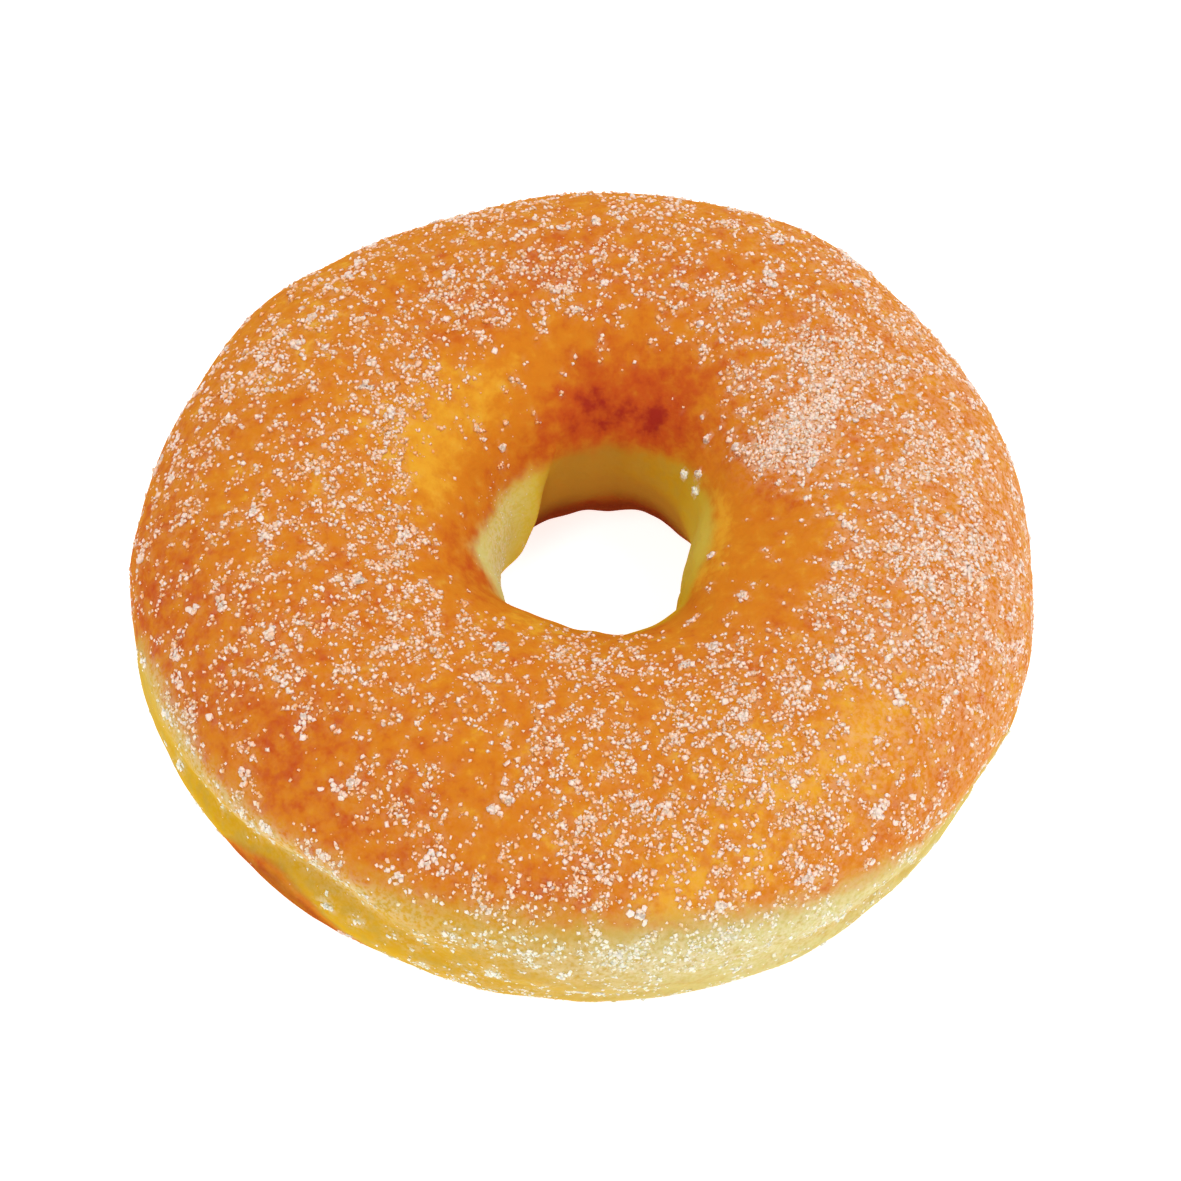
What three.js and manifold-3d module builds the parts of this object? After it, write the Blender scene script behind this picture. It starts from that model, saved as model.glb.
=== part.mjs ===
// A ring doughnut of raised dough, fried on both sides and rolled in granulated sugar.
// Millimetres, +Z up. The origin is the ring's middle on the surface it rests on, and the viewer is at -Y.
// An azimuth goes anticlockwise round the ring from +X. A section angle goes round the dough's own section:
// 0 is the outer waist, 90 the top, 180 the wall of the hole and 270 the underside. Both are in degrees.
import * as THREE from "three";
import { mergeVertices } from "three/addons/utils/BufferGeometryUtils.js";
import Module from "manifold-3d";

// Driving dimensions
const OUTER_RADIUS = 45.6;
const HOLE_RADIUS = 10.1;
const HOLE_CENTRE = { x: 2.0, y: 0.9 }; // from the rim's centre
const RIM_CENTRE = { x: -0.125, y: 0.105 }; // puts the middle of the uneven doughnut's box on the origin
const HEIGHT = 29.0;
const WAIST_HEIGHT = 14.4;
const FOOT_CUT = 1.3; // what the flat foot takes off the round underside
const CREST_SHARE = 0.5; // the top line's place on the way from the hole (0) to the rim (1)
const TOP_POWER = 2.15; // the upper half of the section: 2 is an ellipse, and more is squarer
const UNDER_POWER = 2.0;

// How the rim and the hole depart from circles: azimuth, how far it spreads, and by how much it moves out.
const RIM_FEATURES = [
  { at: 57, spread: 13, by: 1.2 },
  { at: 77, spread: 7, by: -0.5 },
  { at: 115, spread: 13, by: -1.3 },
  { at: 137, spread: 8, by: 0.9 },
  { at: 192, spread: 13, by: 0.2 },
  { at: 250, spread: 30, by: -0.6 },
  { at: 329, spread: 8, by: -0.5 },
  { at: 344, spread: 6, by: 0.6 },
];
const HOLE_FEATURES = [
  { at: 345, spread: 22, by: -2.0 },
  { at: 40, spread: 16, by: 0.25 },
  { at: 120, spread: 13, by: -0.3 },
  { at: 205, spread: 13, by: 0.95 },
  { at: 248, spread: 16, by: -1.3 },
];

// The fold in the wall of the hole: a ridge, sharp on its far side, that leans round the ring as it goes up.
const FOLD = { at: 143, spread: 2.2, after: 9, section: 184, tall: 18, by: 1.1 };
const FOLD_LEAN = 0.9; // degrees of azimuth for a degree of section angle

// The crease round the waist, where the two fried halves meet: its section angle and depth by azimuth.
const CREASE_WIDTH = 5.5; // degrees of section angle
const CREASE_DEPTH = 0.35;
const CREASE_DEEPER = [
  { at: 228, spread: 14, by: 1.1 },
  { at: 307, spread: 8, by: 0.55 },
  { at: 75, spread: 22, by: 0.35 },
  { at: 150, spread: 14, by: 0.4 },
];
const CREASE_HEIGHT = [
  { at: 235, spread: 14, by: 17 },
  { at: 268, spread: 14, by: -10 },
  { at: 310, spread: 10, by: -7 },
  { at: 120, spread: 30, by: 4 },
];

// Swellings and dents of the dough: azimuth, section angle, how far each spreads, and by how much.
// after is the spread on the side of the greater azimuth, where it differs.
const RELIEF = [
  { at: 118, spread: 12, section: 176, tall: 40, by: -0.3 }, // hollow behind the fold
  { at: 232, spread: 26, section: 26, tall: 9, by: 0.45 }, // lip over the crease
  { at: 72, spread: 9, section: 128, tall: 13, by: -0.7 }, // dent at the far side of the hole
  { at: 104, spread: 11, section: 122, tall: 14, by: -0.5 },
  { at: 318, spread: 14, section: 58, tall: 16, by: -0.5 }, // smooth dip on the near right
  { at: 20, spread: 16, section: 95, tall: 18, by: 0.4 },
  { at: 170, spread: 20, section: 88, tall: 20, by: 0.35 },
  { at: 275, spread: 24, section: 75, tall: 20, by: 0.3 },
  { at: 350, spread: 12, section: 120, tall: 14, by: -0.4 },
];

// Gentle waves of the crust: lobes round the ring, lobes round the section, phase and height.
const WAVES = [
  { ring: 4, section: 2, phase: 0.6, by: 0.22 },
  { ring: 7, section: 3, phase: 2.3, by: 0.16 },
  { ring: 11, section: 4, phase: 4.1, by: 0.12 },
  { ring: 17, section: 5, phase: 1.2, by: 0.08 },
];

// The mesh of the dough
const RING_STEPS = 88;
const SECTION_STEPS = 36;
const WAIST_CROWDING = 20; // degrees: draws the section's steps together at the outer waist, for its crease

// The largest sugar clumps, which stand out of the crust
const CLUMPS = 150;
const CLUMP_LENGTH = { least: 1.2, most: 2.5 };
const CLUMP_WIDTH = { least: 0.65, most: 0.95 }; // of its length
const CLUMP_THICKNESS = { least: 0.6, most: 0.8 }; // of its length
const CLUMP_CROOKED = 0.12; // of its length: how far a corner may lie out of square
const CLUMP_PROUD = 0.32; // the share of its thickness that shows
const CLUMP_SECTION = { least: -50, most: 140 }; // the wall of the hole and the underside stay clean
const CLUMP_END = { middle: 118, nearer: 20 }; // the section they stop at, which is later at the near side
const CLUMP_FLOOR_GAP = 2.5; // none has its middle lower than this above the surface
const CLUMP_SEED = 20275;
const GOLDEN_SHARE = 0.61803398875;

const radians = THREE.MathUtils.degToRad;

function bell(distance, width) {
  return Math.exp(-0.5 * (distance / width) ** 2);
}

// How far angle a is past angle b, from -180 to 180 degrees.
function angleApart(a, b) {
  return THREE.MathUtils.euclideanModulo(a - b + 180, 360) - 180;
}

// The bell-shaped share, 0 to 1, of a feature at an azimuth.
function share(feature, azimuth) {
  const apart = angleApart(azimuth, feature.at);
  return bell(apart, apart > 0 && feature.after ? feature.after : feature.spread);
}

function sumOf(features, azimuth) {
  return features.reduce((sum, f) => sum + f.by * share(f, azimuth), 0);
}

// Everything that moves the crust in or out of the plain section, in millimetres.
function relief(azimuth, section) {
  const creaseDepth = CREASE_DEPTH + sumOf(CREASE_DEEPER, azimuth);
  const fromCrease = angleApart(section, sumOf(CREASE_HEIGHT, azimuth));
  let out = -creaseDepth * bell(fromCrease, CREASE_WIDTH);
  const fromFold = angleApart(section, FOLD.section);
  out += FOLD.by * share(FOLD, azimuth - FOLD_LEAN * fromFold) * bell(fromFold, FOLD.tall);
  for (const f of RELIEF) {
    out += f.by * share(f, azimuth) * bell(angleApart(section, f.section), f.tall);
  }
  for (const w of WAVES) {
    const round = Math.sin(w.ring * radians(azimuth) + w.phase);
    out += w.by * round * Math.cos(w.section * radians(section) + w.phase);
  }
  return out;
}

function signedPower(value, power) {
  return Math.sign(value) * Math.abs(value) ** power;
}

// A point of the crust.
function crust(azimuth, section) {
  const a = radians(azimuth);
  const s = radians(section);
  const rim = OUTER_RADIUS + sumOf(RIM_FEATURES, azimuth);
  const hole = HOLE_RADIUS + sumOf(HOLE_FEATURES, azimuth);
  const power = Math.sin(s) > 0 ? TOP_POWER : UNDER_POWER;
  const across = signedPower(Math.cos(s), 2 / power);
  const up = signedPower(Math.sin(s), 2 / power);
  const way = CREST_SHARE + across * (across > 0 ? 1 - CREST_SHARE : CREST_SHARE);
  const rise = up > 0 ? HEIGHT - WAIST_HEIGHT : WAIST_HEIGHT + FOOT_CUT;
  const out = relief(azimuth, section);
  const inner = new THREE.Vector3(HOLE_CENTRE.x + hole * Math.cos(a), HOLE_CENTRE.y + hole * Math.sin(a), 0);
  const outer = new THREE.Vector3(rim * Math.cos(a), rim * Math.sin(a), 0);
  const outward = outer.clone().sub(inner).normalize();
  const point = inner.lerp(outer, way).addScaledVector(outward, out * Math.cos(s));
  point.x += RIM_CENTRE.x;
  point.y += RIM_CENTRE.y;
  point.z = Math.max(0, WAIST_HEIGHT + rise * up + out * Math.sin(s));
  return point;
}

// The crust as one closed grid, its faces pointing out.
function doughGeometry() {
  const positions = [];
  const index = [];
  for (let i = 0; i < RING_STEPS; i++) {
    for (let j = 0; j < SECTION_STEPS; j++) {
      const even = (360 * j) / SECTION_STEPS;
      const p = crust((360 * i) / RING_STEPS, even - WAIST_CROWDING * Math.sin(radians(even)));
      positions.push(p.x, p.y, p.z);
      const next = ((i + 1) % RING_STEPS) * SECTION_STEPS;
      const here = i * SECTION_STEPS;
      const above = (j + 1) % SECTION_STEPS;
      index.push(here + j, next + j, next + above, here + j, next + above, here + above);
    }
  }
  const geometry = new THREE.BufferGeometry();
  geometry.setAttribute("position", new THREE.Float32BufferAttribute(positions, 3));
  geometry.setIndex(index);
  return geometry;
}

// A seeded source of numbers from 0 to 1.
function seededDraw(seed) {
  let state = seed;
  return () => {
    state = (Math.imul(state, 1664525) + 1013904223) >>> 0;
    return state / 4294967296;
  };
}

// The direction out of the crust at a point of it.
function crustNormal(azimuth, section) {
  const step = 0.5; // degrees
  const along = crust(azimuth + step, section).sub(crust(azimuth - step, section));
  const around = crust(azimuth, section + step).sub(crust(azimuth, section - step));
  return along.cross(around).normalize();
}

// The value that lies a part, 0 to 1, of the way through a range.
function between(range, part) {
  return range.least + (range.most - range.least) * part;
}

// A sugar clump: a small crooked block, sunk into the crust and turned at random. Most are small.
function clumpGeometry(azimuth, section, draw) {
  const length = between(CLUMP_LENGTH, draw() ** 2);
  const thickness = length * between(CLUMP_THICKNESS, draw());
  const block = new THREE.BoxGeometry(length, length * between(CLUMP_WIDTH, draw()), thickness);
  block.deleteAttribute("normal");
  block.deleteAttribute("uv");
  const geometry = mergeVertices(block);
  const corners = geometry.getAttribute("position");
  const crooked = CLUMP_CROOKED * length;
  for (let k = 0; k < corners.count; k++) {
    corners.setXYZ(
      k,
      corners.getX(k) + crooked * (draw() - 0.5),
      corners.getY(k) + crooked * (draw() - 0.5),
      corners.getZ(k) + crooked * (draw() - 0.5),
    );
  }
  const normal = crustNormal(azimuth, section);
  const turn = new THREE.Quaternion()
    .setFromUnitVectors(new THREE.Vector3(0, 0, 1), normal)
    .multiply(new THREE.Quaternion().setFromAxisAngle(new THREE.Vector3(0, 0, 1), Math.PI * draw()));
  const sunk = thickness * (0.5 - CLUMP_PROUD);
  const place = crust(azimuth, section).addScaledVector(normal, -sunk);
  return geometry.applyMatrix4(new THREE.Matrix4().compose(place, turn, new THREE.Vector3(1, 1, 1)));
}

// Clumps spread evenly: round the ring by the golden share, and thinned out towards the hole.
function clumpGeometries() {
  const draw = seededDraw(CLUMP_SEED);
  const made = [];
  for (let k = 0; made.length < CLUMPS; k++) {
    const azimuth = 360 * ((k * GOLDEN_SHARE) % 1);
    const section = between(CLUMP_SECTION, draw());
    const place = crust(azimuth, section);
    const kept = draw() * OUTER_RADIUS < Math.hypot(place.x, place.y);
    const end = CLUMP_END.middle - CLUMP_END.nearer * Math.sin(radians(azimuth));
    if (kept && section < end && place.z > CLUMP_FLOOR_GAP) made.push(clumpGeometry(azimuth, section, draw));
  }
  return made;
}

const wasm = await Module();
wasm.setup();

function solidOf(geometry) {
  return new wasm.Manifold(
    new wasm.Mesh({
      numProp: 3,
      vertProperties: new Float32Array(geometry.getAttribute("position").array),
      triVerts: new Uint32Array(geometry.getIndex().array),
    }),
  );
}

function geometryOf(solid) {
  const mesh = solid.getMesh();
  const geometry = new THREE.BufferGeometry();
  geometry.setAttribute("position", new THREE.BufferAttribute(mesh.vertProperties, 3));
  geometry.setIndex(new THREE.BufferAttribute(mesh.triVerts, 1));
  geometry.computeVertexNormals();
  return geometry;
}

let doughnutSolid = solidOf(doughGeometry());
for (const clump of clumpGeometries()) {
  doughnutSolid = doughnutSolid.add(solidOf(clump));
}

const crustMaterial = new THREE.MeshStandardMaterial({ color: 0xd9822b, roughness: 0.55, metalness: 0 });
const doughnut = new THREE.Mesh(geometryOf(doughnutSolid), crustMaterial);
doughnut.name = "doughnut";

const ring = new THREE.Group();
ring.add(doughnut);

export default ring;
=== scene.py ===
"""The looks of a fried ring doughnut in granulated sugar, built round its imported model."""

import math

import bpy
import numpy as np
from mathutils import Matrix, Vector


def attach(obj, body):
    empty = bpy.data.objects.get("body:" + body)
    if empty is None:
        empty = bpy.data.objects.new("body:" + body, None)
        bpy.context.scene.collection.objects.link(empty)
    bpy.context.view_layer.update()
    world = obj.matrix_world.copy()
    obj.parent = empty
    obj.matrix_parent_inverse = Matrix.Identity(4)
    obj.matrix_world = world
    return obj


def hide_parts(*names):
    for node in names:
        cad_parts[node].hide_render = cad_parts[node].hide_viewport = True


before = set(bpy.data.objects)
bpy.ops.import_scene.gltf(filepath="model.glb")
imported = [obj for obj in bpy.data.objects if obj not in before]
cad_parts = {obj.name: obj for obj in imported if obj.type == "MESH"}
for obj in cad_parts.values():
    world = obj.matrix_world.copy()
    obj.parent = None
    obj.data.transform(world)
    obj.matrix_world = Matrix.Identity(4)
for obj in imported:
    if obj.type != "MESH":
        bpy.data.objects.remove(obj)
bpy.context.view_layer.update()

MM = 0.001

# The doughnut's own dimensions, in millimetres
OUTER_RADIUS = 45.6
HOLE_RADIUS = 10.1
HOLE_CENTRE = (2.0, 0.9)
RIM_CENTRE = (-0.125, 0.105)
HEIGHT = 29.0
WAIST_HEIGHT = 14.4
FOOT_CUT = 1.3
CREST_SHARE = 0.5
TOP_POWER = 2.15
UNDER_POWER = 2.0

# Azimuths go anticlockwise round the ring from +X, and section angles round the dough's own section:
# 0 is the outer waist, 90 the top, 180 the wall of the hole and 270 the underside. All are degrees.
# Rim and hole: azimuth, spread, how far it moves out
RIM_FEATURES = [
    (57, 13, 1.2), (77, 7, -0.5), (115, 13, -1.3), (137, 8, 0.9),
    (192, 13, 0.2), (250, 30, -0.6), (329, 8, -0.5), (344, 6, 0.6),
]
HOLE_FEATURES = [(345, 22, -2.0), (40, 16, 0.25), (120, 13, -0.3), (205, 13, 0.95), (248, 16, -1.3)]

# The fold in the wall of the hole: a ridge, sharp on its far side, that leans round the ring as it goes up
FOLD_AT = 143
FOLD_BEFORE = 2.2
FOLD_AFTER = 9
FOLD_SECTION = 184
FOLD_TALL = 18
FOLD_HEIGHT = 1.1
FOLD_LEAN = 0.9

# The crease round the waist: azimuth, spread, and how much deeper or higher it is there
CREASE_WIDTH = 5.5
CREASE_DEPTH = 0.35
CREASE_DEEPER = [(228, 14, 1.1), (307, 8, 0.55), (75, 22, 0.35), (150, 14, 0.4)]
CREASE_HEIGHT = [(235, 14, 17), (268, 14, -10), (310, 10, -7), (120, 30, 4)]

# Swellings and dents: azimuth, spread before and after it, section, spread, height
RELIEF = [
    (118, 12, 12, 176, 40, -0.3),  # hollow behind the fold
    (232, 26, 26, 26, 9, 0.45),  # lip over the crease
    (72, 9, 9, 128, 13, -0.7),  # dent at the far side of the hole
    (104, 11, 11, 122, 14, -0.5),
    (318, 14, 14, 58, 16, -0.5),  # smooth dip on the near right
    (20, 16, 16, 95, 18, 0.4),
    (170, 20, 20, 88, 20, 0.35),
    (275, 24, 24, 75, 20, 0.3),
    (350, 12, 12, 120, 14, -0.4),
]
# Waves: lobes round the ring, lobes round the section, phase, height
WAVES = [(4, 2, 0.6, 0.22), (7, 3, 2.3, 0.16), (11, 4, 4.1, 0.12), (17, 5, 1.2, 0.08)]

# Fine unevenness of the crust: size, height
CRUST_BUMPS = [(6.0, 0.10), (2.4, 0.06), (1.1, 0.03)]
CRUST_SEED = 11
# Wrinkles of the pale dough: size, height, and scale along X, Y and Z, where less than 1 stretches them
BAND_WRINKLES = (2.2, 0.16)
BAND_WRINKLE_SCALE = (0.45, 0.45, 1.0)
BAND_SEED = 18

# The mesh of the crust
RING_STEPS = 480
SECTION_STEPS = 200

# The pale band round the waist: azimuth and the section where it ends, above and below
BAND_TOP = [
    (20, -4), (60, -8), (110, -6), (150, -4), (184, -2), (191, 13), (199, 24), (236, 28), (252, 34),
    (272, 35), (284, 31), (291, 27), (299, 20), (310, 16), (318, 8), (328, -2), (345, -8),
]
BAND_BOTTOM = [
    (20, -24), (110, -26), (184, -24), (214, -20), (220, -2), (224, 4), (229, 8), (234, 3), (238, -6),
    (244, -28), (330, -28),
]
BAND_SOFTNESS = (12.0, 3.5)  # above and below
# The pale wall of the hole: azimuth and the section where it starts, and the one where it ends
WALL_TOP = [
    (0, 149), (30, 152), (60, 157), (100, 158), (140, 159), (160, 159), (175, 153), (189, 148), (202, 157),
    (225, 156), (300, 154),
]
WALL_BOTTOM = [(0, 214), (60, 190), (90, 186), (130, 196), (180, 208), (270, 212)]
WALL_SOFTNESS = 7.0
# How creamy the pale band is (0 is yellow), partly its own colour and partly painted light, and how much
# painted shade darkens the wall of the hole downwards, by azimuth
BAND_CREAM_AND_PAINTED_LIGHT = [
    (20, 0.4), (110, 0.4), (185, 0.3), (200, 0.2), (214, 0.05), (240, 0.05), (258, 0.1), (268, 0.4),
    (278, 0.85), (298, 1.0), (310, 0.8), (325, 0.7),
]
WALL_PAINTED_SHADE = [(0, 0.0), (20, 0.15), (40, 0.8), (62, 1.0), (150, 1.0), (215, 0.2), (340, 0.0)]

# Where the crust is fried redder (above 0) or stays more golden, and, where marked, painted light or shade:
# azimuth, spread, section, spread, by how much
TONES = [
    (82, 24, 140, 11, 0.65),  # the far side of the hole
    (66, 3, 145, 5, 0.6),
    (80, 14, 146, 6, 0.15),
    (95, 6, 136, 6, 0.3),
    (153, 17, 119, 12, -0.75),  # golden slope left of the hole
    (122, 8, 118, 8, -0.25),
    (171, 11, 124, 12, -0.3),
    (236, 8, 134, 7, -0.4),
    (129, 7, 156, 6, 0.25),
    (335, 8, 149, 7, -0.35),
    (124, 8, 97, 7, 0.2),
    (105, 28, 92, 9, 0.35),
    (60, 9, 124, 9, 0.5),
    (197, 15, 88, 12, 0.3),
    (188, 16, 30, 16, 0.5),  # outer left
    (316, 12, 108, 8, 0.25),
    (284, 12, 42, 8, -0.2),
    (298, 12, 70, 10, -0.3),
    (188, 8, 82, 8, -0.35),
    (135, 8, 132, 8, -0.3),
    (86, 12, 126, 8, 0.35),
    (218, 18, 52, 16, 0.4),  # near left
    (232, 8, 50, 8, 0.15),
    (245, 14, 42, 6, 0.15),
    (228, 12, -6, 10, 0.2),  # browned underside that shows below the crease
    (313, 10, 32, 7, 0.15),  # near right, over the band
    (286, 9, 38, 8, -0.15),
    (267, 6, 43, 6, 0.8),
    (277, 22, 40, 7, -0.3),
    (10, 14, 122, 8, 0.4),
    (317, 9, 60, 11, -0.55),  # smooth dip on the near right
    (345, 16, 118, 16, -0.1),
    (0, 22, 148, 9, -0.8),  # golden rim right of the hole, lighter still as painted light where it faces away from the key light
    (246, 14, 146, 12, -0.4),
    (90, 40, 72, 22, 0.12),
    (118, 16, 104, 14, -0.1),
    (90, 45, 208, 14, 1.3),  # under the far side of the hole: fried deep red, and darker still as painted shade
    (144, 9, 66, 12, -0.35),
    (290, 20, 62, 10, -0.25),
]
PLAIN_TONE = 0.06
UNDERSIDE_TONE = 0.1
# The redder rim round the hole: section, spread, by how much, and its share by azimuth
HOLE_RIM_RED = (148, 11, 0.6)
HOLE_RIM_SHARE = [
    (0, 0.15), (40, 0.6), (60, 0.9), (105, 0.9), (132, 0.4), (165, 0.4), (188, 0.9), (220, 0.35),
    (330, 0.15),
]
# Where the mottling is weaker: azimuth, spread, section, spread, by how much
SMOOTHER = [(317, 9, 60, 11, 0.5), (153, 15, 119, 12, 0.3)]
# It is weaker past the sugar's end too: how many degrees past it, up to which section, and by how much
SMOOTHER_SLOPE = (-15, 25)
SMOOTHER_SLOPE_END = 250
SMOOTHER_ON_SLOPE = 0.25

# The near side of the fold, a pale facet: lighter and creamier there as painted light, where it faces the
# key light.
# How soft its edge is, in degrees, and how much softer for each degree above a section, the azimuths
# between which it fades out, and its frosted middle, melted sugar that also lightens it as painted light
FACET_EDGE = 1.5
FACET_SOFTER = 0.9
FACET_SOFTER_ABOVE = 176
FACET_FADE = (200, 232)
FACET_FROST = (48, 22, 171, 13)  # degrees past the ridge, spread, section, spread
FACET_CREAM_AND_LIGHT = 0.1
FACET_CREAMIER_AND_LIGHT = [(3, 18, 0.28), (45, 75, 0.4)]  # from and to how many degrees past the ridge, by how much
# Painted light on the right of the wall, which faces away from the key light: azimuth, spread, how much
# creamier, and where it has the facet's lighter colours
WALL_CREAMIER_PAINTED_LIGHT = [(0, 20, 0.2)]
RIGHT_WALL_PAINTED_LIGHT = (358, 28, 34)  # azimuth, spread before and after
# The sections between which the wall of the hole starts and ends
HOLE_START = (110, 125)
HOLE_END = (235, 250)
# How much painted shade darkens the wall at its top, how much more on the far side, and the sections
# between which it deepens and those between which that ends
WALL_TOP_PAINTED_SHADE = 0.08
FAR_WALL_TOP_MORE_PAINTED_SHADE = 0.22
FAR_WALL = (100, 30, 60)  # azimuth, spread before and after
WALL_PAINTED_SHADE_DEEPENS = (169, 201)
WALL_PAINTED_SHADE_ENDS = (215, 240)
# How much the underside, the crease and the near band are darkened, and where more so: azimuth, spread, by
# how much.
# On the underside that is fried brown with painted shade; in the crease and on the band it is painted shade
UNDERSIDE_BROWN_AND_SHADE = 0.5
UNDERSIDE_MORE_BROWN_AND_SHADE = [(228, 9, 0.12)]
UNDERSIDE_EDGE = (-6, 4)  # degrees above the lower end of the pale band
UNDERSIDE_INNER_EDGE = (215, 235)  # sections
CREASE_PAINTED_SHADE = 0.08
BAND_PAINTED_SHADE = [(268, 22, 0.12)]
CREASE_COLOUR_WIDTH = 4  # degrees


def apart(a, b):
    """How far angle a is past angle b, from -180 to 180 degrees."""
    return (a - b + 180) % 360 - 180


def bell(distance, width):
    return np.exp(-0.5 * (distance / width) ** 2)


def share(azimuth, at, before, after):
    """The bell-shaped share, 0 to 1, of a feature at an azimuth."""
    d = apart(azimuth, at)
    return bell(d, np.where(d > 0, after, before))


def sum_of(features, azimuth):
    """The sum at an azimuth of bell-shaped features: azimuth, spread, height."""
    return sum(by * share(azimuth, at, spread, spread) for at, spread, by in features)


def patches(features, azimuth, section):
    """The sum at a point of round features: azimuth, spread, section, spread, height."""
    return sum(
        by * share(azimuth, at, spread, spread) * bell(apart(section, middle), tall)
        for at, spread, middle, tall, by in features
    )


def around(stops, azimuth):
    """The value at an azimuth, between stops given round the ring as azimuth and value."""
    return np.interp(azimuth, [stop[0] for stop in stops], [stop[1] for stop in stops], period=360)


def from_inside_out(section):
    """The section angle from -90 to 270, unbroken from the outer foot over the top and into the hole."""
    return apart(section, 90) + 90


def smooth_step(low, high, value):
    t = np.clip((value - low) / (high - low), 0, 1)
    return t * t * (3 - 2 * t)


def lattice(ix, iy, iz, seed):
    """A number from -1 to 1 that depends only on a lattice point and the seed."""
    h = (ix * 374761393 + iy * 668265263 + iz * 1440662683 + seed * 974634777) & 0xFFFFFFFF
    h = ((h ^ (h >> 15)) * 739982445) & 0xFFFFFFFF
    h = ((h ^ (h >> 12)) * 695872825) & 0xFFFFFFFF
    return ((h ^ (h >> 15)) & 0xFFFFFF) / 0x7FFFFF - 1


def noise(points, size, seed):
    """Smooth noise from -1 to 1 with features about as large as size."""
    p = points / size
    cell = np.floor(p).astype(np.int64)
    t = p - cell
    t = t * t * (3 - 2 * t)
    total = 0
    for corner in np.ndindex(2, 2, 2):
        c = np.array(corner)
        weight = np.prod(np.where(c, t, 1 - t), axis=-1)
        total = total + weight * lattice(*np.moveaxis(cell + c, -1, 0), seed)
    return total


def past_fold(azimuth, section):
    """How far an azimuth is past the ridge of the fold, at a section."""
    return apart(azimuth - FOLD_LEAN * apart(section, FOLD_SECTION), FOLD_AT)


def fold_side(azimuth, section):
    """1 on the near side of the fold, from its ridge on, and 0 on the far side."""
    soft = FACET_EDGE + FACET_SOFTER * np.maximum(0, FACET_SOFTER_ABOVE - section)
    return smooth_step(-soft, soft, past_fold(azimuth, section)) * (1 - smooth_step(*FACET_FADE, azimuth))


def on_fold(azimuth, section):
    """The share of the frosted middle of that near side."""
    past, past_spread, middle, tall = FACET_FROST
    frosted = bell(past_fold(azimuth, section) - past, past_spread) * bell(section - middle, tall)
    return fold_side(azimuth, section) * frosted


def relief(azimuth, section):
    """Everything large that moves the crust in or out of the plain section."""
    depth = CREASE_DEPTH + sum_of(CREASE_DEEPER, azimuth)
    out = -depth * bell(apart(section, sum_of(CREASE_HEIGHT, azimuth)), CREASE_WIDTH)
    past = past_fold(azimuth, section)
    ridge = bell(past, np.where(past > 0, FOLD_AFTER, FOLD_BEFORE))
    out = out + FOLD_HEIGHT * ridge * bell(apart(section, FOLD_SECTION), FOLD_TALL)
    for at, before, after, middle, tall, by in RELIEF:
        out = out + by * share(azimuth, at, before, after) * bell(apart(section, middle), tall)
    for ring, lobes, phase, by in WAVES:
        round_ring = np.sin(ring * np.radians(azimuth) + phase)
        out = out + by * round_ring * np.cos(lobes * np.radians(section) + phase)
    return out


def signed_power(value, power):
    return np.sign(value) * np.abs(value) ** power


def dough(azimuth, section, extra=0.0):
    """A point of the dough. Extra moves it further out, as the relief does."""
    a, s = np.radians(azimuth), np.radians(section)
    rim = OUTER_RADIUS + sum_of(RIM_FEATURES, azimuth)
    hole = HOLE_RADIUS + sum_of(HOLE_FEATURES, azimuth)
    power = np.where(np.sin(s) > 0, TOP_POWER, UNDER_POWER)
    across = signed_power(np.cos(s), 2 / power)
    up = signed_power(np.sin(s), 2 / power)
    way = CREST_SHARE + across * np.where(across > 0, 1 - CREST_SHARE, CREST_SHARE)
    rise = np.where(up > 0, HEIGHT - WAIST_HEIGHT, WAIST_HEIGHT + FOOT_CUT)
    out = relief(azimuth, section) + extra
    inner = np.stack([HOLE_CENTRE[0] + hole * np.cos(a), HOLE_CENTRE[1] + hole * np.sin(a)], -1)
    outer = np.stack([rim * np.cos(a), rim * np.sin(a)], -1)
    outward = (outer - inner) / np.linalg.norm(outer - inner, axis=-1, keepdims=True)
    flat = inner + (outer - inner) * way[..., None] + outward * (out * np.cos(s))[..., None]
    z = np.maximum(0, WAIST_HEIGHT + rise * up + out * np.sin(s))
    return np.concatenate([flat + np.array(RIM_CENTRE), z[..., None]], -1)


def brownness(azimuth, section):
    """1 on the fried crust and 0 on the pale band and the wall of the hole."""
    s = apart(section, 0)
    above, below = BAND_SOFTNESS
    in_band = smooth_step(-above, above, around(BAND_TOP, azimuth) - s)
    in_band = in_band * smooth_step(-below, below, s - around(BAND_BOTTOM, azimuth))
    s = section % 360
    in_wall = smooth_step(-WALL_SOFTNESS, WALL_SOFTNESS, s - around(WALL_TOP, azimuth))
    in_wall = in_wall * smooth_step(-WALL_SOFTNESS, WALL_SOFTNESS, around(WALL_BOTTOM, azimuth) - s)
    return 1 - np.maximum(in_band, in_wall)


def crust(azimuth, section):
    """A point of the crust, with its fine unevenness."""
    plain = dough(azimuth, section)
    fine = sum(by * noise(plain, size, CRUST_SEED + k) for k, (size, by) in enumerate(CRUST_BUMPS))
    size, by = BAND_WRINKLES
    stretched = plain * np.array(BAND_WRINKLE_SCALE)
    fine = fine + (1 - brownness(azimuth, section)) * by * noise(stretched, size, BAND_SEED)
    return dough(azimuth, section, fine)


def crust_normal(azimuth, section):
    """The direction straight out of the crust."""
    step = 0.4  # degrees
    along = crust(azimuth + step, section) - crust(azimuth - step, section)
    round_section = crust(azimuth, section + step) - crust(azimuth, section - step)
    normal = np.cross(along, round_section)
    return normal / np.linalg.norm(normal, axis=-1, keepdims=True)


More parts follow.
